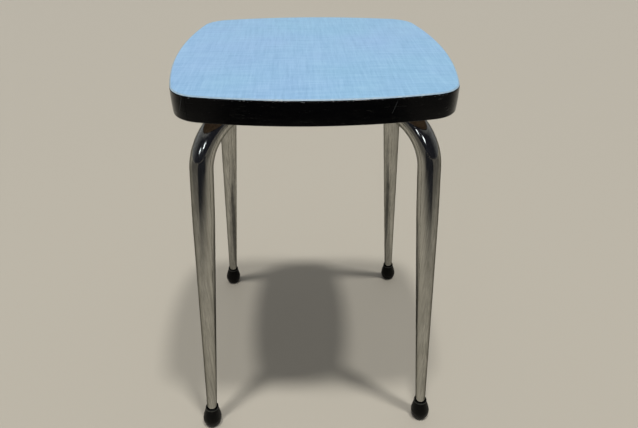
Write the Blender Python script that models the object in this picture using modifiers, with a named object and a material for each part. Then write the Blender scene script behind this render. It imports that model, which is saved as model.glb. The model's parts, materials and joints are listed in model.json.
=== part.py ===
"""A kitchen stool: a laminated seat in a black edge band, on four bent and tapered tube legs.

Metres, +Z up. The origin is on the floor under the middle of the seat. -Y is the front and +X is
the right. Each leg lies in an upright plane through the middle of the stool, so its pieces are
placed by how far out along that diagonal they are, and by the leg's heading.
"""

import math

import bmesh
import bpy
from mathutils import Matrix, Vector

# Seat, from the top down
SEAT_HEIGHT = 0.450
SEAT_WIDTH = 0.2820
SEAT_DEPTH = 0.2820
SIDE_BOW_RADIUS = 0.481
CORNER_RADIUS = 0.033
LAMINATE_THICKNESS = 0.0010
CORE_THICKNESS = 0.0210
BACKING_THICKNESS = 0.0008

# Edge band: a strip glued round the core and the backing, with the laminate's edge over it
BAND_THICKNESS = 0.0015
BAND_OVERHANG = 0.0008
BAND_EDGE_RADIUS = 0.0007
BAND_JOINT_GAP = 0.0003
BAND_JOINT_ROUND_CORNER = math.radians(15)

# Legs
FOOT_SPREAD = 0.1395
LEG_TILT = math.radians(6.3)
BEND_RADIUS = 0.052
TUBE_RADIUS_TOP = 0.0114
TUBE_RADIUS_FOOT = 0.0057
TAPER_LENGTH = 0.320
TUBE_WALL = 0.0012
FLAT_THICKNESS = 0.0036
FLAT_LENGTH = 0.026
FLATTENING_LENGTH = 0.020
ARM_END_FROM_MIDDLE = 0.024

# Feet
FERRULE_HEIGHT = 0.031
FERRULE_RADIUS = 0.0120
FERRULE_WIDEST_HEIGHT = 0.0115
FERRULE_WALL_AT_MOUTH = 0.0011
FERRULE_LIP_HEIGHT = 0.0032
FERRULE_LIP_ROUNDING = 0.0004
FERRULE_SOLE = 0.0060
FERRULE_SOLE_BULGE = 0.0016
SOCKET_CLEARANCE = 0.0004
WASHER_THICKNESS = 0.0012
WASHER_HOLE_RADIUS = 0.0026

# Countersunk wood screws
SCREW_HEAD_RADIUS = 0.0038
SCREW_HEAD_HEIGHT = 0.0022
SCREW_SHANK_RADIUS = 0.0019
SCREW_POINT_LENGTH = 0.0040
SCREW_GRIP_IN_CORE = 0.0130
SCREW_SLOT_WIDTH = 0.0010
SCREW_SLOT_DEPTH = 0.0009
SCREW_CLEARANCE = 0.0003
FLAT_SCREW_OFFSET = 0.0085
FLAT_SCREW_FROM_END = 0.013
ARM_SCREW_FROM_BEND = 0.011

# Gap left between pieces that rest on each other
CONTACT_GAP = 0.0003

# How finely round shapes are divided
BOW_SEGMENTS = 8
CORNER_SEGMENTS = 7
JOINT_SEGMENTS = 2
TUBE_SIDES = 16
BEND_SEGMENTS = 8
BAND_EDGE_SEGMENTS = 3
FLATTENING_SEGMENTS = 5
FERRULE_SIDES = 20
FERRULE_PROFILE_STEPS = 4
SCREW_SIDES = 10

# Leg name to its heading round +Z, measured from +X
LEG_HEADINGS = {
    "front_left": math.radians(225),
    "front_right": math.radians(315),
    "rear_right": math.radians(45),
    "rear_left": math.radians(135),
}

# name: (colour, roughness, metallic)
MATERIALS = {
    "laminate": ((0.30, 0.51, 0.71), 0.38, 0.0),
    "edge_band": ((0.006, 0.006, 0.007), 0.12, 0.0),
    "core_board": ((0.45, 0.31, 0.18), 0.80, 0.0),
    "backing": ((0.12, 0.08, 0.055), 0.60, 0.0),
    "chrome": ((0.62, 0.61, 0.58), 0.08, 1.0),
    "rubber": ((0.012, 0.011, 0.010), 0.45, 0.0),
    "steel": ((0.42, 0.41, 0.39), 0.35, 1.0),
}

QUARTER_TURN = math.pi / 2
CORE_TOP = SEAT_HEIGHT - LAMINATE_THICKNESS - CONTACT_GAP
CORE_BOTTOM = CORE_TOP - CORE_THICKNESS
BACKING_TOP = CORE_BOTTOM - CONTACT_GAP
UNDERSIDE = BACKING_TOP - BACKING_THICKNESS
BAND_TOP = CORE_TOP
BAND_BOTTOM = UNDERSIDE - BAND_OVERHANG


# ---------------------------------------------------------------- scene helpers


def clear_scene():
    for obj in list(bpy.data.objects):
        bpy.data.objects.remove(obj)


def new_collection(name):
    collection = bpy.data.collections.new(name)
    bpy.context.scene.collection.children.link(collection)
    return collection


def make_material(name):
    colour, roughness, metallic = MATERIALS[name]
    material = bpy.data.materials.new(name)
    material.use_nodes = True
    shader = material.node_tree.nodes["Principled BSDF"]
    shader.inputs["Base Color"].default_value = (*colour, 1)
    shader.inputs["Roughness"].default_value = roughness
    shader.inputs["Metallic"].default_value = metallic
    return material


def add_part(name, data, material):
    """Link a piece into the stool, under its empty."""
    obj = bpy.data.objects.new(name, data)
    data.materials.append(bpy.data.materials[material])
    parts.objects.link(obj)
    obj.parent = stool
    return obj


def add_cutter(name, data, collection):
    obj = bpy.data.objects.new(name, data)
    collection.objects.link(obj)
    obj.hide_render = True
    obj.display_type = "WIRE"
    return obj


def block_mesh(name, size):
    block = bmesh.new()
    bmesh.ops.create_cube(block, size=1)
    bmesh.ops.scale(block, vec=size, verts=block.verts)
    mesh = bpy.data.meshes.new(name)
    block.to_mesh(mesh)
    block.free()
    return mesh


def cut_by_object(obj, cutter):
    boolean = obj.modifiers.new("cut_" + cutter.name, "BOOLEAN")
    boolean.operation = "DIFFERENCE"
    boolean.object = cutter


def cut_by_collection(obj, collection):
    boolean = obj.modifiers.new("cut_" + collection.name, "BOOLEAN")
    boolean.operation = "DIFFERENCE"
    boolean.operand_type = "COLLECTION"
    boolean.collection = collection


def shade_round(mesh, angle=math.radians(40)):
    mesh.shade_smooth()
    mesh.set_sharp_from_angle(angle=angle)


# ---------------------------------------------------------------- seat outline


def corner_centre():
    """The middle of the corner arc that touches the rear and the right bowed sides inside."""
    rear = Vector((0, SEAT_DEPTH / 2 - SIDE_BOW_RADIUS))
    right = Vector((SEAT_WIDTH / 2 - SIDE_BOW_RADIUS, 0))
    reach = SIDE_BOW_RADIUS - CORNER_RADIUS
    apart = right - rear
    outward = Vector((-apart.y, apart.x)).normalized()
    if outward.x < 0:
        outward = -outward
    return (rear + right) / 2 + outward * math.sqrt(reach**2 - (apart.length / 2) ** 2)


def arc(centre, radius, start, end, segments):
    """Points along an arc, without its last one."""
    for step in range(segments):
        angle = start + (end - start) * step / segments
        yield centre + radius * Vector((math.cos(angle), math.sin(angle)))


def seat_outline(offset, joint_gap=0.0):
    """The seat's outline, moved outward by offset, anticlockwise from the band's joint.

    Four bowed sides meet four corner arcs tangentially. With a joint gap, the last point is one
    gap short of where the outline closes.
    """
    corner = corner_centre()
    rear_middle = Vector((0, SEAT_DEPTH / 2 - SIDE_BOW_RADIUS))
    right_middle = Vector((SEAT_WIDTH / 2 - SIDE_BOW_RADIUS, 0))
    across_half = math.asin(corner.x / (SIDE_BOW_RADIUS - CORNER_RADIUS))
    along_half = math.asin(corner.y / (SIDE_BOW_RADIUS - CORNER_RADIUS))
    # In order from the front: the bow's middle, its half angle, and the next corner's middle
    sides = [
        (-rear_middle, across_half, Vector((corner.x, -corner.y))),
        (right_middle, along_half, corner),
        (rear_middle, across_half, Vector((-corner.x, corner.y))),
        (-right_middle, along_half, -corner),
    ]
    bow = SIDE_BOW_RADIUS + offset
    tight = CORNER_RADIUS + offset
    front_start = -QUARTER_TURN - across_half
    joint = front_start - BAND_JOINT_ROUND_CORNER
    points = list(arc(-corner, tight, joint, front_start, JOINT_SEGMENTS))
    for side, (bow_middle, half, corner_middle) in enumerate(sides):
        heading = (side - 1) * QUARTER_TURN
        points += arc(bow_middle, bow, heading - half, heading + half, BOW_SEGMENTS)
        next_start = heading + QUARTER_TURN - sides[(side + 1) % 4][1]
        if side == 3:
            next_start = joint + 4 * QUARTER_TURN - joint_gap / CORNER_RADIUS
        points += arc(corner_middle, tight, heading + half, next_start, CORNER_SEGMENTS)
    if joint_gap:
        points.append(-corner + tight * Vector((math.cos(next_start), math.sin(next_start))))
    return points


def outline_curve(name, offset, bottom, top):
    """The seat's outline, moved outward by offset, as a flat 2D curve as thick as the slab."""
    curve = bpy.data.curves.new(name, "CURVE")
    curve.dimensions = "2D"
    curve.fill_mode = "BOTH"
    curve.extrude = (top - bottom) / 2
    points = seat_outline(offset)
    spline = curve.splines.new("POLY")
    spline.points.add(len(points) - 1)
    for point, place in zip(spline.points, points):
        point.co = (place.x, place.y, 0, 1)
    spline.use_cyclic_u = True
    return curve


def mesh_from_curve(curve, name):
    """The welded mesh of a filled curve, which can be cut."""
    holder = bpy.data.objects.new(name, curve)
    bpy.context.scene.collection.objects.link(holder)
    graph = bpy.context.evaluated_depsgraph_get()
    mesh = bpy.data.meshes.new_from_object(holder.evaluated_get(graph))
    mesh.name = name
    bpy.data.objects.remove(holder)
    welded = bmesh.new()
    welded.from_mesh(mesh)
    bmesh.ops.remove_doubles(welded, verts=welded.verts, dist=1e-6)
    bmesh.ops.recalc_face_normals(welded, faces=welded.faces)
    welded.to_mesh(mesh)
    welded.free()
    return mesh


def slab(name, offset, bottom, top, material):
    mesh = mesh_from_curve(outline_curve(name, offset, bottom, top), name)
    obj = add_part(name, mesh, material)
    obj.location.z = (bottom + top) / 2
    return obj


# ---------------------------------------------------------------- seat pieces


def band_section():
    """The band's section, anticlockwise, as (outward from the seat's outline, height) pairs."""
    section = [(-BAND_THICKNESS, BAND_TOP), (-BAND_THICKNESS, BAND_BOTTOM)]
    for middle, start in (
        (BAND_BOTTOM + BAND_EDGE_RADIUS, -QUARTER_TURN),
        (BAND_TOP - BAND_EDGE_RADIUS, 0.0),
    ):
        for step in range(BAND_EDGE_SEGMENTS + 1):
            angle = start + QUARTER_TURN * step / BAND_EDGE_SEGMENTS
            out = BAND_EDGE_RADIUS * (math.cos(angle) - 1)
            section.append((out, middle + BAND_EDGE_RADIUS * math.sin(angle)))
    return section


def edge_band():
    """The band's section swept round the seat from one side of its butt joint to the other."""
    section = band_section()
    rings = [seat_outline(out, BAND_JOINT_GAP) for out, up in section]
    band = bmesh.new()
    columns = []
    for station in zip(*rings):
        column = [band.verts.new((*place, up)) for place, (out, up) in zip(station, section)]
        columns.append(column)
    for here, after in zip(columns, columns[1:]):
        for low in range(len(section)):
            high = (low + 1) % len(section)
            band.faces.new((here[low], after[low], after[high], here[high]))
    band.faces.new(columns[0])
    band.faces.new(reversed(columns[-1]))
    bmesh.ops.recalc_face_normals(band, faces=band.faces)
    mesh = bpy.data.meshes.new("edge_band")
    band.to_mesh(mesh)
    band.free()
    shade_round(mesh)
    return add_part("edge_band", mesh, "edge_band")


def seat():
    inside_band = -(BAND_THICKNESS + CONTACT_GAP)
    slab("laminate_top", 0.0, CORE_TOP + CONTACT_GAP, SEAT_HEIGHT, "laminate")
    core = slab("seat_core", inside_band, CORE_BOTTOM, CORE_TOP, "core_board")
    cut_by_collection(core, screw_bores)
    backing = slab("backing_sheet", inside_band, UNDERSIDE, BACKING_TOP, "backing")
    cut_by_collection(backing, screw_bores)
    edge_band()


# ---------------------------------------------------------------- legs

# In a leg's own plane, x is the distance out from the stool's middle and z is the height.
ARM_HEIGHT = UNDERSIDE - CONTACT_GAP - TUBE_RADIUS_TOP
FOOT_OUT = FOOT_SPREAD * math.sqrt(2)
BEND_CENTRE_HEIGHT = ARM_HEIGHT - BEND_RADIUS
BEND_START_HEIGHT = BEND_CENTRE_HEIGHT + BEND_RADIUS * math.sin(LEG_TILT)
BEND_START_OUT = FOOT_OUT - BEND_START_HEIGHT * math.tan(LEG_TILT)
BEND_CENTRE_OUT = BEND_START_OUT - BEND_RADIUS * math.cos(LEG_TILT)
TUBE_START = FERRULE_SOLE + WASHER_THICKNESS + 2 * CONTACT_GAP


def tube_radius(along):
    """The leg's outside radius at a distance up its taper, from the floor."""
    return TUBE_RADIUS_FOOT + (TUBE_RADIUS_TOP - TUBE_RADIUS_FOOT) * along / TAPER_LENGTH


def up_the_leg(along):
    return FOOT_OUT - along * math.sin(LEG_TILT), along * math.cos(LEG_TILT)


def tube_ring(out, height, pitch, half_height, half_width):
    """A section of the leg, square to its axis. A flattened one keeps round ends."""
    ring = []
    for side in range(TUBE_SIDES):
        angle = 2 * math.pi * (side + 0.5) / TUBE_SIDES
        across = half_height * math.cos(angle)
        across += math.copysign(half_width - half_height, across)
        lift = half_height * math.sin(angle)
        ring.append(Vector((out + lift * math.sin(pitch), across, height + lift * math.cos(pitch))))
    return ring


def leg_rings():
    """Sections from the foot, up the taper, round the bend and along the arm to its flat end."""
    upright = QUARTER_TURN - LEG_TILT
    rings = []
    for along in (TUBE_START, TAPER_LENGTH):
        radius = tube_radius(along)
        rings.append(tube_ring(*up_the_leg(along), upright, radius, radius))
    for step in range(BEND_SEGMENTS + 1):
        pitch = upright * (1 - step / BEND_SEGMENTS)
        out = BEND_CENTRE_OUT + BEND_RADIUS * math.sin(pitch)
        height = BEND_CENTRE_HEIGHT + BEND_RADIUS * math.cos(pitch)
        rings.append(tube_ring(out, height, pitch, TUBE_RADIUS_TOP, TUBE_RADIUS_TOP))
    flat_start = ARM_END_FROM_MIDDLE + FLAT_LENGTH
    for step in range(FLATTENING_SEGMENTS + 1):
        share = step / FLATTENING_SEGMENTS
        eased = share * share * (3 - 2 * share)
        half_height = TUBE_RADIUS_TOP + (FLAT_THICKNESS / 2 - TUBE_RADIUS_TOP) * eased
        half_width = half_height + (TUBE_RADIUS_TOP - half_height) * QUARTER_TURN
        out = flat_start + FLATTENING_LENGTH * (1 - share)
        height = ARM_HEIGHT + TUBE_RADIUS_TOP - half_height
        rings.append(tube_ring(out, height, 0.0, half_height, half_width))
    end_height = ARM_HEIGHT + TUBE_RADIUS_TOP - FLAT_THICKNESS / 2
    rings.append(tube_ring(ARM_END_FROM_MIDDLE, end_height, 0.0, half_height, half_width))
    return rings


def leg_skin():
    """The tube's outside as an open skin, which Solidify gives its wall."""
    skin = bmesh.new()
    rows = [[skin.verts.new(point) for point in ring] for ring in leg_rings()]
    for here, after in zip(rows, rows[1:]):
        for side in range(TUBE_SIDES):
            beside = (side + 1) % TUBE_SIDES
            skin.faces.new((here[side], after[side], after[beside], here[beside]))
    mesh = bpy.data.meshes.new("leg")
    skin.to_mesh(mesh)
    skin.free()
    shade_round(mesh)
    return mesh


def leg(name, heading):
    obj = add_part("leg_" + name, leg_skin(), "chrome")
    obj.rotation_euler.z = heading
    wall = obj.modifiers.new("wall", "SOLIDIFY")
    wall.thickness = TUBE_WALL
    wall.offset = -1
    wall.use_even_offset = True
    cut_by_collection(obj, screw_bores)


# ---------------------------------------------------------------- turned pieces


def turned(name, profile, sides):
    """The mesh of a profile turned round Z. The profile runs down its outer side.

    It starts and ends on the axis, or else is joined up into a ring's section.
    """
    line = bmesh.new()
    points = [line.verts.new((radius, 0, height)) for radius, height in profile]
    for here, after in zip(points, points[1:]):
        line.edges.new((here, after))
    if profile[0][0] > 0:
        line.edges.new((points[-1], points[0]))
    mesh = bpy.data.meshes.new(name)
    line.to_mesh(mesh)
    line.free()
    holder = bpy.data.objects.new(name, mesh)
    bpy.context.scene.collection.objects.link(holder)
    screw = holder.modifiers.new("turn", "SCREW")
    screw.axis = "Z"
    screw.steps = sides
    screw.render_steps = sides
    screw.use_merge_vertices = True
    screw.merge_threshold = 1e-5
    graph = bpy.context.evaluated_depsgraph_get()
    result = bpy.data.meshes.new_from_object(holder.evaluated_get(graph))
    result.name = name
    bpy.data.objects.remove(holder)
    shade_round(result)
    return result


def stand_on_leg(obj, heading):
    """Put a turned piece's origin where the leg's axis meets the floor, along that axis."""
    obj.location = (FOOT_OUT * math.cos(heading), FOOT_OUT * math.sin(heading), 0)
    obj.rotation_euler = (0, -LEG_TILT, heading)


def ferrule_profile():
    """A drop shape with a lipped mouth, and a blind socket that follows the tube's taper."""
    socket_foot = tube_radius(FERRULE_SOLE) + SOCKET_CLEARANCE
    socket_mouth = tube_radius(FERRULE_HEIGHT) + SOCKET_CLEARANCE
    mouth = socket_mouth + FERRULE_WALL_AT_MOUTH
    rounding = FERRULE_LIP_ROUNDING
    lip_foot = FERRULE_HEIGHT - FERRULE_LIP_HEIGHT
    profile = [
        (0, FERRULE_SOLE),
        (socket_foot, FERRULE_SOLE),
        (socket_mouth, FERRULE_HEIGHT - rounding),
        (socket_mouth + rounding, FERRULE_HEIGHT),
        (mouth, FERRULE_HEIGHT),
        (mouth + rounding, FERRULE_HEIGHT - FERRULE_LIP_HEIGHT / 2),
        (mouth, lip_foot),
    ]
    # The flank swells from under the lip to the widest ring, then rolls under to the sole.
    for step in range(1, FERRULE_PROFILE_STEPS + 1):
        share = step / FERRULE_PROFILE_STEPS
        radius = mouth + (FERRULE_RADIUS - mouth) * math.sin(share * QUARTER_TURN)
        profile.append((radius, lip_foot + (FERRULE_WIDEST_HEIGHT - lip_foot) * share))
    roll = FERRULE_WIDEST_HEIGHT + FERRULE_SOLE_BULGE
    for step in range(1, FERRULE_PROFILE_STEPS + 1):
        angle = QUARTER_TURN * step / (FERRULE_PROFILE_STEPS + 1)
        height = FERRULE_WIDEST_HEIGHT - roll * math.sin(angle)
        profile.append((FERRULE_RADIUS * math.sqrt(math.cos(angle)), height))
    profile.append((0, -FERRULE_SOLE_BULGE))
    return profile


def ferrule(name, heading, floor):
    obj = add_part("ferrule_" + name, turned("ferrule", ferrule_profile(), FERRULE_SIDES), "rubber")
    stand_on_leg(obj, heading)
    cut_by_object(obj, floor)


def washer(name, heading):
    outer = tube_radius(FERRULE_SOLE) + SOCKET_CLEARANCE - CONTACT_GAP
    bottom = FERRULE_SOLE + CONTACT_GAP
    top = bottom + WASHER_THICKNESS
    profile = [
        (WASHER_HOLE_RADIUS, top),
        (outer, top),
        (outer, bottom),
        (WASHER_HOLE_RADIUS, bottom),
    ]
    obj = add_part("washer_" + name, turned("washer", profile, TUBE_SIDES), "steel")
    stand_on_leg(obj, heading)


def floor_cutter():
    """A block under the floor, which cuts the ferrules flat where they stand."""
    side = 2 * FOOT_SPREAD + 8 * FERRULE_RADIUS
    depth = 2 * FERRULE_RADIUS
    floor = add_cutter("floor", block_mesh("floor", (side, side, depth)), cutters)
    floor.location.z = -depth / 2
    return floor


# ---------------------------------------------------------------- screws


def screw_profile(length, grow):
    """A countersunk screw, head down, from its point to the rim of its head's face at z = 0."""
    return [
        (0, length + grow),
        (SCREW_SHANK_RADIUS + grow, length - SCREW_POINT_LENGTH + grow),
        (SCREW_SHANK_RADIUS + grow, SCREW_HEAD_HEIGHT),
        (SCREW_HEAD_RADIUS + grow, 0),
    ]


def screw_bore(name, length, place):
    """The hole that a screw needs in all it passes through, open below its head."""
    profile = screw_profile(length, SCREW_CLEARANCE)
    profile += [(SCREW_HEAD_RADIUS + SCREW_CLEARANCE, -SCREW_CLEARANCE), (0, -SCREW_CLEARANCE)]
    bore = add_cutter("bore_" + name, turned("bore", profile, SCREW_SIDES), screw_bores)
    bore.location = place


def screw_slot(name, place, turn):
    size = (3 * SCREW_HEAD_RADIUS, SCREW_SLOT_WIDTH, 2 * SCREW_SLOT_DEPTH)
    slot = add_cutter("slot_" + name, block_mesh("slot", size), cutters)
    slot.location = place
    slot.rotation_euler.z = turn
    return slot


def screw_at(name, heading, out, across, head_height, slot_turn):
    """One wood screw, upward into the core, at a place in its leg's own frame."""
    length = CORE_BOTTOM + SCREW_GRIP_IN_CORE - head_height
    place = Matrix.Rotation(heading, 4, "Z") @ Vector((out, across, head_height))
    profile = screw_profile(length, 0.0) + [(0, 0)]
    obj = add_part("screw_" + name, turned("screw", profile, SCREW_SIDES), "steel")
    obj.location = place
    cut_by_object(obj, screw_slot(name, place, heading + slot_turn))
    screw_bore(name, length, place)


def screws(name, heading):
    """Two screws through the leg's flat end and a long one through its round arm."""
    flat_face = ARM_HEIGHT + TUBE_RADIUS_TOP - FLAT_THICKNESS
    flat_out = ARM_END_FROM_MIDDLE + FLAT_SCREW_FROM_END
    arm_out = BEND_CENTRE_OUT - ARM_SCREW_FROM_BEND
    # Each slot stops where its screw came tight, so no two of a leg's lie the same way.
    for label, out, across, height, turned_by in (
        ("left", flat_out, FLAT_SCREW_OFFSET, flat_face, 20),
        ("right", flat_out, -FLAT_SCREW_OFFSET, flat_face, 105),
        ("arm", arm_out, 0.0, ARM_HEIGHT - TUBE_RADIUS_TOP, 62),
    ):
        screw_at(f"{name}_{label}", heading, out, across, height, math.radians(turned_by))


clear_scene()
parts = new_collection("kitchen_stool")
cutters = new_collection("cutters")
screw_bores = new_collection("screw_bores")
stool = bpy.data.objects.new("stool", None)
parts.objects.link(stool)
for material_name in MATERIALS:
    make_material(material_name)

floor_block = floor_cutter()
for leg_name, leg_heading in LEG_HEADINGS.items():
    screws(leg_name, leg_heading)
    leg(leg_name, leg_heading)
    ferrule(leg_name, leg_heading, floor_block)
    washer(leg_name, leg_heading)
seat()
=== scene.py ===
"""The looks of a kitchen stool: laminated seat, black edge band, bent chrome legs, rubber feet.

Metres, in the frame of the CAD solids: +Z up, the floor at z = 0, -Y the front and +X the right.
"""

import json
import math

import bmesh
import bpy
from mathutils import Matrix, Vector


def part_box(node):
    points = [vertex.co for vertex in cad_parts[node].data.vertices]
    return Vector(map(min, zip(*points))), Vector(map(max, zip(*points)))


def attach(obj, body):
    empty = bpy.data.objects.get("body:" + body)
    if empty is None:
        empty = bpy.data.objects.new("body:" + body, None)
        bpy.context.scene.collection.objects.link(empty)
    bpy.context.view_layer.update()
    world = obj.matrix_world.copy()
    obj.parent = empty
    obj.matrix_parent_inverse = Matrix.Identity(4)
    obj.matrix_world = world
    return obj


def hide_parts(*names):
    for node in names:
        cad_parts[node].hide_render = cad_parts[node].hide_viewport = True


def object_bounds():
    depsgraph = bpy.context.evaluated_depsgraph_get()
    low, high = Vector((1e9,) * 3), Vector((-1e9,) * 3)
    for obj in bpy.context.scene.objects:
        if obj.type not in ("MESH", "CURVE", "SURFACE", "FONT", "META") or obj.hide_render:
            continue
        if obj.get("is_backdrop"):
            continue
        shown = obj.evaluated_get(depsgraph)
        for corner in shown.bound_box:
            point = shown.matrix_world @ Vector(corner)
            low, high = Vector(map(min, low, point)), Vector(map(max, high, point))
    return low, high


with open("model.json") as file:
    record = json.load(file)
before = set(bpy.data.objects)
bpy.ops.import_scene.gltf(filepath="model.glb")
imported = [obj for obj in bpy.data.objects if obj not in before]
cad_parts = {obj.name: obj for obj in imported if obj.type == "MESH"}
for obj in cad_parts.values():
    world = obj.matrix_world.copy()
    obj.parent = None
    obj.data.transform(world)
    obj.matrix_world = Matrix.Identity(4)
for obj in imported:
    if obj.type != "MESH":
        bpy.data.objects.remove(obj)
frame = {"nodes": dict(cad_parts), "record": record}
cad_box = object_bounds()

QUARTER_TURN = math.pi / 2

# Seat, read from the solids
SEAT_LOW, SEAT_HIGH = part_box("laminate_top")
SEAT_TOP = SEAT_HIGH.z
LAMINATE_BOTTOM = SEAT_LOW.z
SEAT_HALF_WIDTH = SEAT_HIGH.x
SEAT_HALF_DEPTH = SEAT_HIGH.y
BAND_LOW, BAND_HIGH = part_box("edge_band")
CORE_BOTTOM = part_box("seat_core")[0].z
SIDE_BOW_RADIUS = 0.481
CORNER_RADIUS = 0.033
LAMINATE_SETBACK = 0.0004
LAMINATE_BEVEL_IN = 0.0012
LAMINATE_BEVEL_DOWN = 0.0009
LAMINATE_RIM_WIDTH = 0.0048

# Edge band
CONTACT_GAP = 0.0003
BAND_THICKNESS = 0.0015
BAND_EDGE_RADIUS = 0.0008
BAND_CROWN = 0.0003
BAND_JOINT_GAP = 0.0003
BAND_JOINT_ROUND_CORNER = math.radians(15)

# Wear and painted light on the band: pale marks along its top edge, partly nicks and partly painted
# glints, and pale streaks across its front face, partly scratches and partly painted reflections
NICKS_AND_GLINTS_START_BELOW_TOP = 0.0016
NICKS_AND_GLINTS_FULL_BELOW_TOP = 0.0006
STREAK_BELOW_TOP = 0.008
STREAK_HALF_WIDTH = 0.0004
STREAK_FULL_SHARE = 0.6
# Each pale streak's place along X, its lean and its half height
SCRATCHES_AND_REFLECTIONS = ((0.066, 0.36, 0.0065), (-0.1175, 0.30, 0.0090))

# Legs
FOOT_SPREAD = next(
    mount["pos_m"][0] for mount in frame["record"]["mounts"] if mount["name"] == "foot_rear_right"
)
ARM_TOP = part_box("leg_rear_right")[1].z
LEG_TILT = math.radians(6.3)
BEND_RADIUS = 0.052
TUBE_RADIUS_TOP = 0.0114
TUBE_RADIUS_FOOT = 0.0057
TAPER_LENGTH = 0.320
TUBE_WALL = 0.0012
FLAT_THICKNESS = 0.0036
FLAT_LENGTH = 0.026
FLATTENING_LENGTH = 0.020
ARM_END_FROM_MIDDLE = 0.024

# Feet
FERRULE_HEIGHT = 0.031
FERRULE_RADIUS = 0.0118
FERRULE_WIDEST_HEIGHT = 0.0115
FERRULE_WALL_AT_MOUTH = 0.0011
FERRULE_LIP_HEIGHT = 0.0032
FERRULE_LIP_PROUD = 0.0005
FERRULE_LIP_ROUNDING = 0.0006
FERRULE_HIGHLIGHT_RING = 0.0008
FERRULE_SOLE = 0.0060
FERRULE_SOLE_BULGE = 0.0016
FERRULE_LIP_MIDDLE = FERRULE_HEIGHT - FERRULE_LIP_HEIGHT / 2
SOCKET_CLEARANCE = 0.0004
WASHER_THICKNESS = 0.0012

# Countersunk wood screws
SCREW_HEAD_RADIUS = 0.0038
SCREW_HEAD_HEIGHT = 0.0022
SCREW_RIM = 0.0002
SCREW_SHANK_RADIUS = 0.0019
SCREW_POINT_LENGTH = 0.0040
SCREW_GRIP_IN_CORE = 0.0130
SCREW_SLOT_WIDTH = 0.0010
SCREW_SLOT_DEPTH = 0.0009
SCREW_CLEARANCE = 0.0003
FLAT_SCREW_OFFSET = 0.0085
FLAT_SCREW_FROM_END = 0.013
ARM_SCREW_FROM_BEND = 0.011

# How finely round shapes are divided
BOW_SEGMENTS = 40
CORNER_SEGMENTS = 24
JOINT_SEGMENTS = 8
ROUNDING_SEGMENTS = 8
TUBE_SIDES = 64
STRAIGHT_SEGMENTS = 24
BEND_SEGMENTS = 32
FLATTENING_SEGMENTS = 16
FERRULE_SIDES = 72
SCREW_SIDES = 48
SMOOTH_ANGLE = math.radians(35)

LEG_HEADINGS = {
    "front_left": math.radians(225),
    "front_right": math.radians(315),
    "rear_right": math.radians(45),
    "rear_left": math.radians(135),
}

# In a leg's own plane, x is the distance out from the stool's middle and z is the height.
ARM_HEIGHT = ARM_TOP - TUBE_RADIUS_TOP
FOOT_OUT = FOOT_SPREAD * math.sqrt(2)
BEND_CENTRE_HEIGHT = ARM_HEIGHT - BEND_RADIUS
BEND_START_HEIGHT = BEND_CENTRE_HEIGHT + BEND_RADIUS * math.sin(LEG_TILT)
BEND_START_OUT = FOOT_OUT - BEND_START_HEIGHT * math.tan(LEG_TILT)
BEND_CENTRE_OUT = BEND_START_OUT - BEND_RADIUS * math.cos(LEG_TILT)
STRAIGHT_LENGTH = BEND_START_HEIGHT / math.cos(LEG_TILT)
TUBE_START = FERRULE_SOLE + WASHER_THICKNESS + 2 * CONTACT_GAP


# ---------------------------------------------------------------- pieces


def finished_object(name, mesh, materials, replaced):
    """Show a mesh as a piece of the stool, in place of a CAD node."""
    obj = bpy.data.objects.new(name, mesh)
    bpy.context.scene.collection.objects.link(obj)
    for material in materials:
        mesh.materials.append(material)
    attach(obj, "root")
    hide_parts(replaced)
    return obj


def mesh_from(shape, name):
    bmesh.ops.recalc_face_normals(shape, faces=shape.faces)
    mesh = bpy.data.meshes.new(name)
    shape.to_mesh(mesh)
    shape.free()
    mesh.shade_smooth()
    mesh.set_sharp_from_angle(angle=SMOOTH_ANGLE)
    return mesh


def joined_rings(shape, rings):
    """Faces between rings of equally many points. Returns the rings' vertices."""
    rows = [[shape.verts.new(point) for point in ring] for ring in rings]
    count = len(rows[0])
    for here, after in zip(rows, rows[1:]):
        for side in range(count):
            beside = (side + 1) % count
            shape.faces.new((here[side], after[side], after[beside], here[beside]))
    return rows


def cut(obj, cutters):
    """Take cutters away from a piece, apply the result and sharpen the rims that they leave."""
    for cutter in cutters:
        boolean = obj.modifiers.new("cut", "BOOLEAN")
        boolean.operation = "DIFFERENCE"
        boolean.object = cutter
    graph = bpy.context.evaluated_depsgraph_get()
    result = bpy.data.meshes.new_from_object(obj.evaluated_get(graph))
    result.set_sharp_from_angle(angle=SMOOTH_ANGLE)
    obj.modifiers.clear()
    obj.data = result
    for cutter in cutters:
        bpy.data.objects.remove(cutter)


def cutter_from(mesh, place, turn=0.0):
    obj = bpy.data.objects.new("cutter", mesh)
    bpy.context.scene.collection.objects.link(obj)
    obj.matrix_world = Matrix.Translation(place) @ Matrix.Rotation(turn, 4, "Z")
    return obj


# ---------------------------------------------------------------- seat outline


def corner_centre():
    """The middle of the corner arc that touches the rear and the right bowed sides inside."""
    rear = Vector((0, SEAT_HALF_DEPTH - SIDE_BOW_RADIUS))
    right = Vector((SEAT_HALF_WIDTH - SIDE_BOW_RADIUS, 0))
    reach = SIDE_BOW_RADIUS - CORNER_RADIUS
    apart = right - rear
    outward = Vector((-apart.y, apart.x)).normalized()
    if outward.x < 0:
        outward = -outward
    return (rear + right) / 2 + outward * math.sqrt(reach**2 - (apart.length / 2) ** 2)


def arc(centre, radius, start, end, segments):
    """Points along an arc, without its last one."""
    for step in range(segments):
        angle = start + (end - start) * step / segments
        yield centre + radius * Vector((math.cos(angle), math.sin(angle)))


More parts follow.
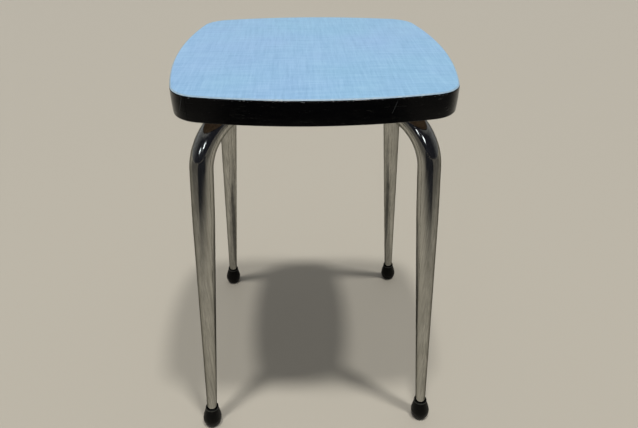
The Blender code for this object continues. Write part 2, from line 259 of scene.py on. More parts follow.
def seat_outline(offset, joint_gap=0.0):
    """The seat's outline, moved outward by offset, anticlockwise from the band's joint.

    Four bowed sides meet four corner arcs tangentially. With a joint gap, the last point is one
    gap short of where the outline closes.
    """
    corner = corner_centre()
    rear_middle = Vector((0, SEAT_HALF_DEPTH - SIDE_BOW_RADIUS))
    right_middle = Vector((SEAT_HALF_WIDTH - SIDE_BOW_RADIUS, 0))
    across_half = math.asin(corner.x / (SIDE_BOW_RADIUS - CORNER_RADIUS))
    along_half = math.asin(corner.y / (SIDE_BOW_RADIUS - CORNER_RADIUS))
    # In order from the front: the bow's middle, its half angle, and the next corner's middle
    sides = [
        (-rear_middle, across_half, Vector((corner.x, -corner.y))),
        (right_middle, along_half, corner),
        (rear_middle, across_half, Vector((-corner.x, corner.y))),
        (-right_middle, along_half, -corner),
    ]
    bow = SIDE_BOW_RADIUS + offset
    tight = CORNER_RADIUS + offset
    front_start = -QUARTER_TURN - across_half
    joint = front_start - BAND_JOINT_ROUND_CORNER
    points = list(arc(-corner, tight, joint, front_start, JOINT_SEGMENTS))
    for side, (bow_middle, half, corner_middle) in enumerate(sides):
        heading = (side - 1) * QUARTER_TURN
        points += arc(bow_middle, bow, heading - half, heading + half, BOW_SEGMENTS)
        next_start = heading + QUARTER_TURN - sides[(side + 1) % 4][1]
        if side == 3:
            next_start = joint + 4 * QUARTER_TURN - joint_gap / CORNER_RADIUS
        points += arc(corner_middle, tight, heading + half, next_start, CORNER_SEGMENTS)
    if joint_gap:
        points.append(-corner + tight * Vector((math.cos(next_start), math.sin(next_start))))
    return points


# ---------------------------------------------------------------- seat pieces


def laminate_sheet():
    """The sheet on the seat, set back a little from the band's face.

    Its filed edge is a facet with its own pale colour, partly the laminate's core and partly a painted
    highlight.
    """
    shape = bmesh.new()
    levels = [
        (-LAMINATE_SETBACK, LAMINATE_BOTTOM),
        (-LAMINATE_SETBACK, SEAT_TOP - LAMINATE_BEVEL_DOWN),
        (-LAMINATE_SETBACK - LAMINATE_BEVEL_IN, SEAT_TOP),
        (-LAMINATE_SETBACK - LAMINATE_RIM_WIDTH, SEAT_TOP),
    ]
    rings = [[(*place, up) for place in seat_outline(offset)] for offset, up in levels]
    rows = joined_rings(shape, rings)
    shape.faces.new(rows[0])
    shape.faces.new(rows[-1])
    for face in shape.faces:
        low = min(vert.co.z for vert in face.verts)
        face.material_index = 1 if low < SEAT_TOP - LAMINATE_BEVEL_DOWN / 2 else 0
    mesh = mesh_from(shape, "seat_laminate")
    materials = [laminate_material(), laminate_edge_material()]
    finished_object("seat_laminate", mesh, materials, "laminate_top")


def band_section():
    """The band's section, anticlockwise, as (outward from the seat's outline, height) pairs.

    Its face is crowned a little, and its top and bottom edges are rounded.
    """
    radius = BAND_EDGE_RADIUS
    face_low = BAND_LOW.z + radius
    face_high = BAND_HIGH.z - radius
    section = [(-BAND_THICKNESS, BAND_HIGH.z), (-BAND_THICKNESS, BAND_LOW.z)]
    for step in range(ROUNDING_SEGMENTS + 1):
        angle = -QUARTER_TURN * (1 - step / ROUNDING_SEGMENTS)
        section.append((radius * (math.cos(angle) - 1), face_low + radius * math.sin(angle)))
    for step in range(1, 2 * ROUNDING_SEGMENTS):
        share = step / (2 * ROUNDING_SEGMENTS)
        bulge = BAND_CROWN * math.sin(math.pi * share)
        section.append((bulge, face_low + (face_high - face_low) * share))
    for step in range(ROUNDING_SEGMENTS + 1):
        angle = QUARTER_TURN * step / ROUNDING_SEGMENTS
        section.append((radius * (math.cos(angle) - 1), face_high + radius * math.sin(angle)))
    return section


def edge_band():
    """The band's section swept round the seat from one side of its butt joint to the other."""
    section = band_section()
    outlines = [seat_outline(out, BAND_JOINT_GAP) for out, up in section]
    stations = [
        [(*place, up) for place, (out, up) in zip(station, section)] for station in zip(*outlines)
    ]
    shape = bmesh.new()
    rows = joined_rings(shape, stations)
    shape.faces.new(rows[0])
    shape.faces.new(rows[-1])
    mesh = mesh_from(shape, "band")
    finished_object("band", mesh, [band_material()], "edge_band")


# ---------------------------------------------------------------- legs


def tube_radius(along):
    """The leg's outside radius at a distance up its straight part, from the floor."""
    taper = min(along / TAPER_LENGTH, 1.0)
    return TUBE_RADIUS_FOOT + (TUBE_RADIUS_TOP - TUBE_RADIUS_FOOT) * taper


def up_the_leg(along):
    return FOOT_OUT - along * math.sin(LEG_TILT), along * math.cos(LEG_TILT)


def tube_stations():
    """(out, height, pitch, half height, half width) of each section, from the foot to the end."""
    upright = QUARTER_TURN - LEG_TILT
    stations = []
    for step in range(STRAIGHT_SEGMENTS):
        along = TUBE_START + (STRAIGHT_LENGTH - TUBE_START) * step / STRAIGHT_SEGMENTS
        radius = tube_radius(along)
        stations.append((*up_the_leg(along), upright, radius, radius))
    for step in range(BEND_SEGMENTS + 1):
        pitch = upright * (1 - step / BEND_SEGMENTS)
        out = BEND_CENTRE_OUT + BEND_RADIUS * math.sin(pitch)
        height = BEND_CENTRE_HEIGHT + BEND_RADIUS * math.cos(pitch)
        stations.append((out, height, pitch, TUBE_RADIUS_TOP, TUBE_RADIUS_TOP))
    flat_start = ARM_END_FROM_MIDDLE + FLAT_LENGTH
    for step in range(FLATTENING_SEGMENTS + 1):
        share = step / FLATTENING_SEGMENTS
        flattened = share * share * (3 - 2 * share)
        half_height = TUBE_RADIUS_TOP + (FLAT_THICKNESS / 2 - TUBE_RADIUS_TOP) * flattened
        half_width = half_height + (TUBE_RADIUS_TOP - half_height) * QUARTER_TURN
        out = flat_start + FLATTENING_LENGTH * (1 - share)
        stations.append((out, ARM_TOP - half_height, 0.0, half_height, half_width))
    stations.append((ARM_END_FROM_MIDDLE, ARM_TOP - half_height, 0.0, half_height, half_width))
    return stations


def tube_ring(station, inward=0.0):
    """A section of the leg, square to its axis. A flattened one keeps round ends."""
    out, height, pitch, half_height, half_width = station
    half_straight = half_width - half_height
    ring = []
    for side in range(TUBE_SIDES):
        angle = 2 * math.pi * (side + 0.5) / TUBE_SIDES
        across = (half_height - inward) * math.cos(angle)
        across += math.copysign(half_straight, across)
        lift = (half_height - inward) * math.sin(angle)
        ring.append(Vector((out + lift * math.sin(pitch), across, height + lift * math.cos(pitch))))
    return ring


def leg_mesh():
    """A hollow tube: an outer and an inner skin, joined by a rim at each end."""
    stations = tube_stations()
    outer = [tube_ring(station) for station in stations]
    inner = [tube_ring(station, TUBE_WALL) for station in stations]
    shape = bmesh.new()
    rows = joined_rings(shape, outer + inner[::-1])
    for side in range(TUBE_SIDES):
        beside = (side + 1) % TUBE_SIDES
        shape.faces.new((rows[-1][side], rows[0][side], rows[0][beside], rows[-1][beside]))
    return mesh_from(shape, "leg")


def leg(name, heading, bores, material):
    mesh = leg_mesh()
    mesh.transform(Matrix.Rotation(heading, 4, "Z"))
    obj = finished_object("tube_" + name, mesh, [material], "leg_" + name)
    cut(obj, bores)


# ---------------------------------------------------------------- turned pieces


def turned(name, profile, sides):
    """A closed piece from a profile turned round Z. The profile starts and ends on the axis."""
    shape = bmesh.new()
    rings = []
    for radius, height in profile[1:-1]:
        turns = [2 * math.pi * side / sides for side in range(sides)]
        rings.append([(radius * math.cos(turn), radius * math.sin(turn), height) for turn in turns])
    rows = joined_rings(shape, rings)
    for row, (radius, height) in ((rows[0], profile[0]), (rows[-1], profile[-1])):
        tip = shape.verts.new((0, 0, height))
        for side in range(sides):
            shape.faces.new((row[side], row[(side + 1) % sides], tip))
    return mesh_from(shape, name)


def socket_radius(along):
    return tube_radius(along) + SOCKET_CLEARANCE


def ferrule_mouth():
    """The ferrule's outside radius at its mouth, without its lip."""
    return socket_radius(FERRULE_HEIGHT) + FERRULE_WALL_AT_MOUTH


def ferrule_profile():
    """A drop shape with a rolled lip, and a blind socket that follows the tube's taper."""
    inside = socket_radius(FERRULE_HEIGHT)
    mouth = ferrule_mouth()
    profile = [(0, FERRULE_SOLE), (socket_radius(FERRULE_SOLE), FERRULE_SOLE)]
    # The rim is rounded over from the socket to the outside.
    rounding_foot = FERRULE_HEIGHT - FERRULE_LIP_ROUNDING
    for step in range(ROUNDING_SEGMENTS + 1):
        angle = math.pi * (1 - step / ROUNDING_SEGMENTS)
        radius = (inside + mouth) / 2 + (mouth - inside) / 2 * math.cos(angle)
        profile.append((radius, rounding_foot + FERRULE_LIP_ROUNDING * math.sin(angle)))
    # The lip stands proud below it, as a half round.
    lip_half_height = FERRULE_LIP_HEIGHT / 2 - FERRULE_LIP_ROUNDING
    for step in range(1, ROUNDING_SEGMENTS + 1):
        angle = math.pi * step / ROUNDING_SEGMENTS
        radius = mouth + FERRULE_LIP_PROUD * math.sin(angle)
        profile.append((radius, FERRULE_LIP_MIDDLE + lip_half_height * math.cos(angle)))
    # The flank swells to the widest ring, then rolls under to the sole.
    lip_foot = FERRULE_HEIGHT - FERRULE_LIP_HEIGHT
    steps = 2 * ROUNDING_SEGMENTS
    for step in range(1, steps + 1):
        share = step / steps
        swell = (share + math.sin(share * QUARTER_TURN)) / 2
        radius = mouth + (FERRULE_RADIUS - mouth) * swell
        profile.append((radius, lip_foot + (FERRULE_WIDEST_HEIGHT - lip_foot) * share))
    roll = FERRULE_WIDEST_HEIGHT + FERRULE_SOLE_BULGE
    for step in range(1, steps + 1):
        angle = QUARTER_TURN * step / (steps + 1)
        height = FERRULE_WIDEST_HEIGHT - roll * math.sin(angle)
        profile.append((FERRULE_RADIUS * math.sqrt(math.cos(angle)), height))
    profile.append((0, -FERRULE_SOLE_BULGE))
    return profile


def ferrule(name, heading, materials):
    """A rubber foot, cut flat where it stands on the floor, with a painted highlight ring round its lip.
    """
    mesh = turned("ferrule", ferrule_profile(), FERRULE_SIDES)
    # Faces on the outside of the lip take the second material, a painted highlight
    for face in mesh.polygons:
        outside = math.hypot(face.center.x, face.center.y) > ferrule_mouth()
        on_lip = abs(face.center.z - FERRULE_LIP_MIDDLE) < FERRULE_HIGHLIGHT_RING
        face.material_index = int(outside and on_lip)
    place = Vector((FOOT_OUT * math.cos(heading), FOOT_OUT * math.sin(heading), 0))
    stand = Matrix.Translation(place) @ Matrix.Rotation(heading, 4, "Z")
    mesh.transform(stand @ Matrix.Rotation(-LEG_TILT, 4, "Y"))
    shape = bmesh.new()
    shape.from_mesh(mesh)
    everything = shape.verts[:] + shape.edges[:] + shape.faces[:]
    sole = bmesh.ops.bisect_plane(
        shape, geom=everything, plane_co=(0, 0, 0), plane_no=(0, 0, -1), clear_outer=True
    )
    rim = [part for part in sole["geom_cut"] if isinstance(part, bmesh.types.BMEdge)]
    bmesh.ops.edgeloop_fill(shape, edges=rim)
    flat = mesh_from(shape, "ferrule")
    finished_object("rubber_foot_" + name, flat, materials, "ferrule_" + name)


# ---------------------------------------------------------------- screws


def screw_profile(length, grow=0.0):
    """A countersunk screw, head down, from its point to the middle of its head's face."""
    head = SCREW_HEAD_RADIUS + grow
    return [
        (0, length + grow),
        (SCREW_SHANK_RADIUS + grow, length - SCREW_POINT_LENGTH + grow),
        (SCREW_SHANK_RADIUS + grow, SCREW_HEAD_HEIGHT),
        (head, SCREW_RIM),
        (head - SCREW_RIM, -grow),
        (0, -grow),
    ]


def slot_mesh():
    block = bmesh.new()
    bmesh.ops.create_cube(block, size=1)
    size = (3 * SCREW_HEAD_RADIUS, SCREW_SLOT_WIDTH, 2 * SCREW_SLOT_DEPTH)
    bmesh.ops.scale(block, vec=size, verts=block.verts)
    return mesh_from(block, "slot")


def screw_at(name, place, turn, material):
    """One slotted wood screw, upward into the core. Returns the cutter of its bore."""
    length = CORE_BOTTOM + SCREW_GRIP_IN_CORE - place.z
    mesh = turned("wood_screw", screw_profile(length), SCREW_SIDES)
    mesh.transform(Matrix.Translation(place))
    obj = finished_object("wood_" + name, mesh, [material], name)
    cut(obj, [cutter_from(slot_mesh(), place, turn)])
    bore = turned("bore", screw_profile(length, SCREW_CLEARANCE), SCREW_SIDES)
    return cutter_from(bore, place)


def leg_screws(name, heading, material):
    """Two screws through the leg's flat end and a long one through its round arm."""
    flat_face = ARM_TOP - FLAT_THICKNESS
    flat_out = ARM_END_FROM_MIDDLE + FLAT_SCREW_FROM_END
    arm_out = BEND_CENTRE_OUT - ARM_SCREW_FROM_BEND
    bores = []
    for label, out, across, height, turned_by in (
        ("left", flat_out, FLAT_SCREW_OFFSET, flat_face, 20),
        ("right", flat_out, -FLAT_SCREW_OFFSET, flat_face, 105),
        ("arm", arm_out, 0.0, ARM_HEIGHT - TUBE_RADIUS_TOP, 62),
    ):
        place = Matrix.Rotation(heading, 4, "Z") @ Vector((out, across, height))
        turn = heading + math.radians(turned_by)
        bores.append(screw_at(f"screw_{name}_{label}", place, turn, material))
    return bores


# ---------------------------------------------------------------- materials


def new_material(name, **settings):
    """A material, and its shader with the constant settings put on the shader's own sockets."""
    material = bpy.data.materials.new(name)
    material.use_nodes = True
    shader = material.node_tree.nodes["Principled BSDF"]
    for socket, value in settings.items():
        shader.inputs[socket.replace("_", " ")].default_value = value
    return material, shader


def add(tree, kind, inputs=None, **settings):
    """A node, with its settings, and with a value or another node's output on each input."""
    node = tree.nodes.new("ShaderNode" + kind)
    for name, value in settings.items():
        setattr(node, name, value)
    for socket, value in (inputs or {}).items():
        if isinstance(value, bpy.types.NodeSocket):
            tree.links.new(value, node.inputs[socket])
        else:
            node.inputs[socket].default_value = value
    return node


def object_place(tree):
    return add(tree, "TexCoord").outputs["Object"]


def noise(tree, place, stretch, detail=3.0, roughness=0.5, distortion=0.0):
    """Noise over a place, with how many features there are to a metre along each axis."""
    scaled = add(tree, "Mapping", {"Vector": place, "Scale": stretch}).outputs["Vector"]
    inputs = {
        "Vector": scaled,
        "Scale": 1.0,
        "Detail": detail,
        "Roughness": roughness,
        "Distortion": distortion,
    }
    return add(tree, "TexNoise", inputs).outputs["Fac"]


def ramp(tree, factor, stops):
    """A colour ramp over (position, grey or colour) stops."""
    node = add(tree, "ValToRGB", {"Fac": factor})
    elements = node.color_ramp.elements
    while len(elements) < len(stops):
        elements.new(0.5)
    for element, (position, colour) in zip(elements, stops):
        element.position = position
        grey = isinstance(colour, (int, float))
        element.color = (colour, colour, colour, 1) if grey else (*colour, 1)
    return node.outputs["Color"]


def maths(tree, operation, first, second=0.0):
    return add(tree, "Math", {0: first, 1: second}, operation=operation).outputs[0]


def eased(tree, value, start, end):
    """0 up to start, 1 from end on, and smooth between them. Start may be the larger."""
    inputs = {"Value": value, "From Min": start, "From Max": end}
    return add(tree, "MapRange", inputs, interpolation_type="SMOOTHSTEP").outputs["Result"]


def mixed(tree, factor, first, second, blend="MIX"):
    inputs = {"Factor": factor, 6: first, 7: second}
    node = add(tree, "Mix", inputs, data_type="RGBA", blend_type=blend)
    return node.outputs[2]


def bumped(tree, shader, height, distance, strength=1.0):
    inputs = {"Height": height, "Distance": distance, "Strength": strength}
    tree.links.new(add(tree, "Bump", inputs).outputs["Normal"], shader.inputs["Normal"])


def feed(tree, shader, **sockets):
    for socket, value in sockets.items():
        tree.links.new(value, shader.inputs[socket.replace("_", " ")])


def laminate_material():
    """Printed linen: irregular pale and dark threads both ways, on a blue that drifts in hue."""
    material, shader = new_material("laminate", Specular_IOR_Level=0.35)
    tree = material.node_tree
    place = object_place(tree)
    across = noise(tree, place, (70, 1500, 1), detail=4, roughness=0.65)
    along = noise(tree, place, (1500, 70, 1), detail=4, roughness=0.65)
    slubs_across = noise(tree, place, (28, 420, 1), detail=2)
    slubs_along = noise(tree, place, (420, 28, 1), detail=2)
    fine = maths(tree, "ADD", across, along)
    coarse = maths(tree, "ADD", slubs_across, slubs_along)
    threads = maths(tree, "MULTIPLY", maths(tree, "ADD", fine, coarse), 0.25)
    blues = [(0.36, (0.225, 0.430, 0.680)), (0.50, (0.295, 0.522, 0.775)), (0.64, (0.375, 0.610, 0.850))]
    weave = ramp(tree, threads, blues)
    drift = noise(tree, place, (9, 9, 1), detail=2)
    tint = ramp(tree, drift, [(0.35, (1.02, 0.985, 1.015)), (0.65, (0.975, 1.015, 0.985))])
    feed(tree, shader, Base_Color=mixed(tree, 1.0, weave, tint, "MULTIPLY"))
    rub = noise(tree, place, (14, 14, 1), detail=5, roughness=0.6)
    feed(tree, shader, Roughness=ramp(tree, rub, [(0.3, 0.34), (0.7, 0.44)]))
    bumped(tree, shader, threads, 0.00006, 0.5)
    return material


def laminate_edge_material():
    """The laminate's filed edge, pale partly from its core and partly from a painted highlight, and
    whiter where it is chipped.
    """
    material, shader = new_material("laminate_edge", Specular_IOR_Level=0.4)
    tree = material.node_tree
    place = object_place(tree)
    chips = noise(tree, place, (300, 300, 300), detail=4, roughness=0.6)
    # These pale blue-whites paint a highlight along the facet as well as the laminate's core
    colours = [(0.36, (0.30, 0.45, 0.60)), (0.55, (0.37, 0.53, 0.66)), (0.72, (0.56, 0.66, 0.72))]
    feed(tree, shader, Base_Color=ramp(tree, chips, colours))
    feed(tree, shader, Roughness=ramp(tree, chips, [(0.3, 0.35), (0.7, 0.6)]))
    bumped(tree, shader, chips, 0.00006, 0.5)
    return material


def front_scratch_and_reflection(tree, split, x, lean, half_height):
    """1 on a thin leaning pale streak in the front face of the band, partly a scratch and partly a
    painted reflection, and 0 off it.
    """
    up = maths(tree, "SUBTRACT", split.outputs["Z"], BAND_HIGH.z - STREAK_BELOW_TOP)
    along = maths(tree, "SUBTRACT", split.outputs["X"], x)
    leaning = maths(tree, "SUBTRACT", along, maths(tree, "MULTIPLY", up, lean))
    thin = eased(tree, maths(tree, "ABSOLUTE", leaning), STREAK_HALF_WIDTH, 0.0)
    full = STREAK_FULL_SHARE * half_height
    short = eased(tree, maths(tree, "ABSOLUTE", up), half_height, full)
    front = eased(tree, split.outputs["Y"], 0.0, -0.05)
    return maths(tree, "MULTIPLY", maths(tree, "MULTIPLY", thin, short), front)


def band_material():
    """Glossy black plastic, with a slow waviness and fine scuffs, pale marks on its lip that are partly
    nicks and partly painted glints, and pale streaks that are partly scratches and partly painted
    reflections.
    """
    material, shader = new_material("edge_band", Specular_IOR_Level=0.30)
    tree = material.node_tree
    place = object_place(tree)
    split = add(tree, "SeparateXYZ", {0: place})
    marks = noise(tree, place, (60, 60, 260), detail=5, roughness=0.7, distortion=0.6)
    grime = ramp(tree, marks, [(0.62, (0.0016, 0.0016, 0.0018)), (0.78, (0.035, 0.034, 0.030))])
    worn = noise(tree, place, (420, 420, 700), detail=3, roughness=0.6)
    nicks_and_glints_start = BAND_HIGH.z - NICKS_AND_GLINTS_START_BELOW_TOP
    lip = eased(tree, split.outputs["Z"], nicks_and_glints_start, BAND_HIGH.z - NICKS_AND_GLINTS_FULL_BELOW_TOP)
    # Pale marks along the lip: partly nicks, partly painted glints
    nicks_and_glints = maths(tree, "MULTIPLY", lip, eased(tree, worn, 0.58, 0.70))
    # Pale streaks on the front face: partly scratches, partly painted reflections
    right, left = (front_scratch_and_reflection(tree, split, *scratch) for scratch in SCRATCHES_AND_REFLECTIONS)
    scratches_and_reflections = maths(tree, "MAXIMUM", right, left)
    faint_scratches_and_reflections = maths(tree, "MULTIPLY", scratches_and_reflections, 0.3)
    wear_and_painted_light = maths(tree, "MULTIPLY", maths(tree, "MAXIMUM", nicks_and_glints, faint_scratches_and_reflections), 0.6)
    # This pale grey paints glints and reflections as well as nicks and scratches
    colour = mixed(tree, wear_and_painted_light, grime, (0.30, 0.32, 0.34, 1))
    feed(tree, shader, Base_Color=colour)
    rub = noise(tree, place, (90, 90, 500), detail=5, roughness=0.65)
    gloss = ramp(tree, rub, [(0.40, 0.10), (0.75, 0.34)])
    feed(tree, shader, Roughness=maths(tree, "MAXIMUM", gloss, wear_and_painted_light))
    wave = noise(tree, place, (26, 26, 60), detail=2)
    bumped(tree, shader, wave, 0.0006, 0.6)
    return material


def chrome_material():
    """Bright plating, with a dark edge tint that paints shade on the tube's sides at a glancing angle,
    streaks along the tube, pits and a bloom.
    """
    # The dark specular tint paints shade along the tube's sides where they are seen at a glancing angle
    material, shader = new_material("chrome", Metallic=1.0, Specular_Tint=(0.15, 0.15, 0.14, 1))
    tree = material.node_tree
    place = object_place(tree)
    streaks = noise(tree, place, (800, 800, 7), detail=4, roughness=0.65)
    bloom = noise(tree, place, (45, 45, 30), detail=5, roughness=0.6)
    pits = noise(tree, place, (1500, 1500, 1500), detail=2)
    tone = ramp(tree, bloom, [(0.30, (0.38, 0.375, 0.345)), (0.65, (0.47, 0.465, 0.435))])
    lines = ramp(tree, streaks, [(0.34, 0.74), (0.50, 0.98), (0.64, 1.18)])
    specks = ramp(tree, pits, [(0.70, 1.0), (0.78, 0.55)])
    lined = mixed(tree, 1.0, tone, lines, "MULTIPLY")
    feed(tree, shader, Base_Color=mixed(tree, 1.0, lined, specks, "MULTIPLY"))
    marks = maths(tree, "MULTIPLY", maths(tree, "ADD", streaks, bloom), 0.5)
    feed(tree, shader, Roughness=ramp(tree, marks, [(0.35, 0.04), (0.65, 0.15)]))
    bumped(tree, shader, streaks, 0.00004, 0.6)
    return material


def rubber_material(name, undusted_colour, dusty):
    """Moulded black rubber, satin, with a little dust in patches. Given much lighter colours, it paints
    the highlight round a foot's lip.
    """
    material, shader = new_material(name, Specular_IOR_Level=0.12)
    tree = material.node_tree
    place = object_place(tree)
    dust = noise(tree, place, (260, 260, 180), detail=5, roughness=0.65)
    feed(tree, shader, Base_Color=ramp(tree, dust, [(0.50, undusted_colour), (0.78, dusty)]))
    feed(tree, shader, Roughness=ramp(tree, dust, [(0.35, 0.34), (0.75, 0.62)]))
    grain = noise(tree, place, (2200, 2200, 2200), detail=2)
    bumped(tree, shader, grain, 0.00005, 0.4)
    return material


def steel_material():
    """Zinc-plated steel, dulled and a little brown in patches."""
    material, shader = new_material("steel", Metallic=1.0)
    tree = material.node_tree
    place = object_place(tree)
    stain = noise(tree, place, (420, 420, 420), detail=5, roughness=0.65)
    colours = [(0.40, (0.46, 0.45, 0.42)), (0.70, (0.24, 0.19, 0.13))]
    feed(tree, shader, Base_Color=ramp(tree, stain, colours))
    feed(tree, shader, Roughness=ramp(tree, stain, [(0.35, 0.26), (0.70, 0.60)]))
    bumped(tree, shader, stain, 0.00008, 0.5)
    return material


def board_material():
    """Raw pressed-wood board: pale and dark chips in glue."""
    material, shader = new_material("core_board", Specular_IOR_Level=0.2)
    tree = material.node_tree
    place = object_place(tree)
    chips = noise(tree, place, (240, 420, 600), detail=4, roughness=0.7)
    colours = [(0.35, (0.24, 0.15, 0.075)), (0.52, (0.45, 0.31, 0.18)), (0.66, (0.60, 0.45, 0.28))]
    feed(tree, shader, Base_Color=ramp(tree, chips, colours))
    feed(tree, shader, Roughness=ramp(tree, chips, [(0.3, 0.72), (0.7, 0.90)]))
    bumped(tree, shader, chips, 0.0003, 0.7)
    return material


def backing_material():
    """Brown backing paper laminate, matte, with faint fibres, mottling and scuffs."""
    material, shader = new_material("backing", Specular_IOR_Level=0.3)
    tree = material.node_tree
    place = object_place(tree)
    fibres = noise(tree, place, (90, 700, 1), detail=4, roughness=0.7)
    mottle = noise(tree, place, (22, 22, 1), detail=5, roughness=0.6)
    blend = maths(tree, "MULTIPLY", maths(tree, "ADD", fibres, mottle), 0.5)
    colours = [(0.36, (0.085, 0.054, 0.035)), (0.52, (0.125, 0.083, 0.056)), (0.68, (0.20, 0.145, 0.10))]
    feed(tree, shader, Base_Color=ramp(tree, blend, colours))
    feed(tree, shader, Roughness=ramp(tree, mottle, [(0.3, 0.50), (0.7, 0.72)]))
    bumped(tree, shader, fibres, 0.00008, 0.6)
    return material


def refinish(node, material):
    """Give a CAD node that stays its own material."""
    mesh = frame["nodes"][node].data
    mesh.materials.clear()
    mesh.materials.append(material)


# ---------------------------------------------------------------- stage

CAMERA_PLACE = (-0.01568, -0.53202, 0.60654)
CAMERA_PITCH_DOWN = math.radians(34.755)
CAMERA_YAW_RIGHT = math.radians(2.511)
CAMERA_ROLL = math.radians(0.24)
CAMERA_LENS_MM = 27.98
CAMERA_SENSOR_MM = 36

FLOOR_HALF_SIZE = 8

# The sheet of painted shade has two parts. Each starts at one distance from the stool's middle and is
# full at another. The front part is a wedge, full in its middle and gone at its edges, which move out
# by WEDGE_SPREAD for each metre of Y. The sides' part is only so dark, gone at one Y behind the
# stool's middle and full at one ahead of it.
DIM_FRONT_FROM, DIM_FRONT_FULL = 0.35, 1.00
WEDGE_EDGE, WEDGE_FULL = 0.55, 0.05
WEDGE_SPREAD = 0.45
DIM_SIDES_FROM, DIM_SIDES_FULL = 0.30, 1.30
DIM_SIDES_BEHIND, DIM_SIDES_AHEAD = 0.6, -0.4
DIM_SIDES_SHARE = 0.75

LAMP_STRENGTH = 1.18
LAMP_ANGLE = math.radians(5)


def camera():
    """From half a metre in front, a little left of the middle, looking down over the seat."""
    data = bpy.data.cameras.new("camera")
    data.sensor_width = CAMERA_SENSOR_MM
    data.lens = CAMERA_LENS_MM
    obj = bpy.data.objects.new("camera", data)
    bpy.context.scene.collection.objects.link(obj)
    heading = Matrix.Rotation(-CAMERA_YAW_RIGHT, 4, "Z")
    tilt = Matrix.Rotation(QUARTER_TURN - CAMERA_PITCH_DOWN, 4, "X")
    turn = heading @ tilt @ Matrix.Rotation(CAMERA_ROLL, 4, "Z")
    obj.matrix_world = Matrix.Translation(CAMERA_PLACE) @ turn
    bpy.context.scene.camera = obj


def stage_plane(name, centre, half_sizes, material):
    """A level sheet, which isn't part of the stool."""
    across, along = half_sizes
    corners = ((-across, -along), (across, -along), (across, along), (-across, along))
    shape = bmesh.new()
    shape.faces.new([shape.verts.new((x, y, 0)) for x, y in corners])
    mesh = bpy.data.meshes.new(name)
    shape.to_mesh(mesh)
    shape.free()
    mesh.materials.append(material)
    obj = bpy.data.objects.new(name, mesh)
    bpy.context.scene.collection.objects.link(obj)
    obj.location = centre
    obj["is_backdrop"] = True
    return obj


def see_through(material, shader, factor):
    """Make a material transparent where the factor is 1."""
    tree = material.node_tree
    clear = add(tree, "BsdfTransparent").outputs["BSDF"]
    both = add(tree, "MixShader", {0: factor, 1: shader.outputs["BSDF"], 2: clear})
    tree.links.new(both.outputs[0], tree.nodes["Material Output"].inputs["Surface"])


def floor():
    """A plain pale floor. From below it isn't there, so the underside can be looked at."""
    material, shader = new_material("floor", Roughness=0.55, Specular_IOR_Level=0.25)
    shader.inputs["Base Color"].default_value = (0.485, 0.450, 0.380, 1)
    underneath = add(material.node_tree, "NewGeometry").outputs["Backfacing"]
    see_through(material, shader, underneath)
    stage_plane("floor", (0, 0, 0), (FLOOR_HALF_SIZE, FLOOR_HALF_SIZE), material)


def painted_shade_sheet():
    """Painted shade: a dark sheet just over the floor, which only reflections meet.

    It is clear near the stool and behind it, and comes in softly in front and at the sides.
    """
    material, shader = new_material("painted_shade_sheet", Roughness=0.9, Specular_IOR_Level=0.0)
    # This dark colour paints shade into the reflections of the floor in front
    shader.inputs["Base Color"].default_value = (0.022, 0.023, 0.028, 1)
    tree = material.node_tree
    geometry = add(tree, "NewGeometry")
    place = add(tree, "SeparateXYZ", {0: geometry.outputs["Position"]})
    level = add(tree, "CombineXYZ", {"X": place.outputs["X"], "Y": place.outputs["Y"]})
    reach = add(tree, "VectorMath", {0: level.outputs[0]}, operation="LENGTH").outputs["Value"]
    far = eased(tree, reach, DIM_FRONT_FROM, DIM_FRONT_FULL)
    spread = maths(tree, "MULTIPLY", place.outputs["Y"], WEDGE_SPREAD)
    aside = maths(tree, "ADD", maths(tree, "ABSOLUTE", place.outputs["X"]), spread)
    front = eased(tree, aside, WEDGE_EDGE, WEDGE_FULL)
    middle = maths(tree, "MULTIPLY", far, front)
    around = eased(tree, place.outputs["Y"], DIM_SIDES_BEHIND, DIM_SIDES_AHEAD)
    away = eased(tree, reach, DIM_SIDES_FROM, DIM_SIDES_FULL)
    sides = maths(tree, "MULTIPLY", away, around)
    dark = maths(tree, "MAXIMUM", middle, maths(tree, "MULTIPLY", sides, DIM_SIDES_SHARE))
    above = maths(tree, "SUBTRACT", 1.0, geometry.outputs["Backfacing"])
    clear = maths(tree, "SUBTRACT", 1.0, maths(tree, "MULTIPLY", dark, above))
    see_through(material, shader, clear)
    sheet = stage_plane("painted_shade_sheet", (0, -3, 0.001), (7, 4), material)
    sheet.visible_camera = False
    sheet.visible_diffuse = False
    sheet.visible_shadow = False
    sheet.visible_transmission = False


def lamp(name, direction):
    """A distant soft lamp, which shines from the direction given."""
    data = bpy.data.lights.new(name, "SUN")
    data.energy = LAMP_STRENGTH
    data.angle = LAMP_ANGLE
    data.color = (1.0, 0.985, 0.96)
    obj = bpy.data.objects.new(name, data)
    bpy.context.scene.collection.objects.link(obj)
    obj.rotation_mode = "QUATERNION"
    obj.rotation_quaternion = Vector(direction).to_track_quat("Z", "Y")


def window(name, place, size, radiance):
    """A small bright pane that faces the stool and mostly shows in the chrome's bends."""
    data = bpy.data.lights.new(name, "AREA")
    data.shape = "RECTANGLE"
    data.size, data.size_y = size
    data.energy = radiance * math.pi * size[0] * size[1]
    data.color = (0.86, 0.93, 1.0)
    obj = bpy.data.objects.new(name, data)
    bpy.context.scene.collection.objects.link(obj)
    obj.location = place
    obj.rotation_mode = "QUATERNION"
    towards_stool = Vector((0, 0, ARM_HEIGHT)) - Vector(place)
    obj.rotation_quaternion = towards_stool.to_track_quat("-Z", "Y")


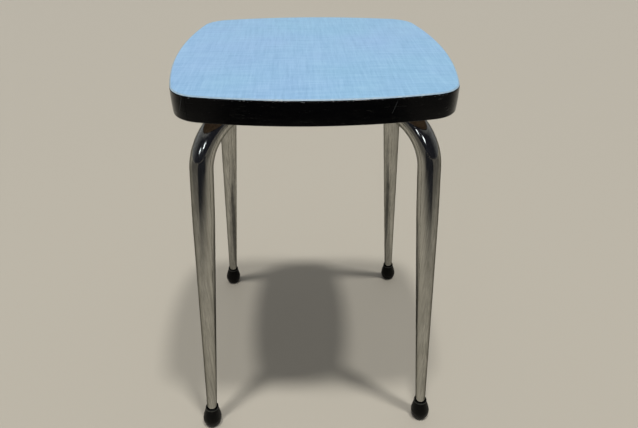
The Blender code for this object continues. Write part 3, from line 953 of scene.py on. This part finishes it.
def surroundings():
    """A soft room: a paler wall behind, a mid-grey ceiling and a dim side in front.

    Only light and reflections meet it. Past the floor's edge the camera sees a plain pale studio.
    """
    world = bpy.data.worlds.new("room")
    bpy.context.scene.world = world
    world.use_nodes = True
    tree = world.node_tree
    direction = add(tree, "TexCoord").outputs["Generated"]
    split = add(tree, "SeparateXYZ", {0: direction})
    behind = maths(tree, "MULTIPLY", maths(tree, "ADD", split.outputs["Y"], 1.0), 0.5)
    stops = [(0.20, (0.022, 0.023, 0.030)), (0.50, (0.16, 0.165, 0.17)), (0.85, (0.42, 0.43, 0.45))]
    walls = ramp(tree, behind, stops)
    ceiling = eased(tree, split.outputs["Z"], 0.55, 0.90)
    room = mixed(tree, ceiling, walls, (0.40, 0.40, 0.39, 1))
    seen = add(tree, "LightPath").outputs["Is Camera Ray"]
    both = mixed(tree, seen, room, (0.50, 0.475, 0.425, 1))
    tree.links.new(both, tree.nodes["Background"].inputs["Color"])


# ---------------------------------------------------------------- the stool on its stage

bpy.context.scene.view_settings.view_transform = "Standard"
camera()
surroundings()
floor()
painted_shade_sheet()
lamp("lamp_left", (-0.105, -0.108, 1.0))
lamp("lamp_right", (0.202, -0.119, 1.0))
window("window_front", (-0.20, -2.30, 1.20), (0.24, 0.34), 5.0)
window("window_left", (-1.15, -2.05, 1.10), (0.20, 0.30), 4.0)

laminate_sheet()
edge_band()
refinish("seat_core", board_material())
refinish("backing_sheet", backing_material())
chrome = chrome_material()
rubber = [
    rubber_material("rubber", (0.0012, 0.0012, 0.0011), (0.009, 0.0085, 0.007)),
    # Much lighter rubber that paints the highlight on each foot's lip ring
    rubber_material("rubber_highlight_ring", (0.050, 0.052, 0.045), (0.11, 0.11, 0.10)),
]
steel = steel_material()
for leg_name, leg_heading in LEG_HEADINGS.items():
    leg(leg_name, leg_heading, leg_screws(leg_name, leg_heading, steel), chrome)
    ferrule(leg_name, leg_heading, rubber)
    refinish("washer_" + leg_name, steel)

sizes = {"cad": cad_box, "visual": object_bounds()}
sizes = {name: [list(corner) for corner in box] for name, box in sizes.items()}
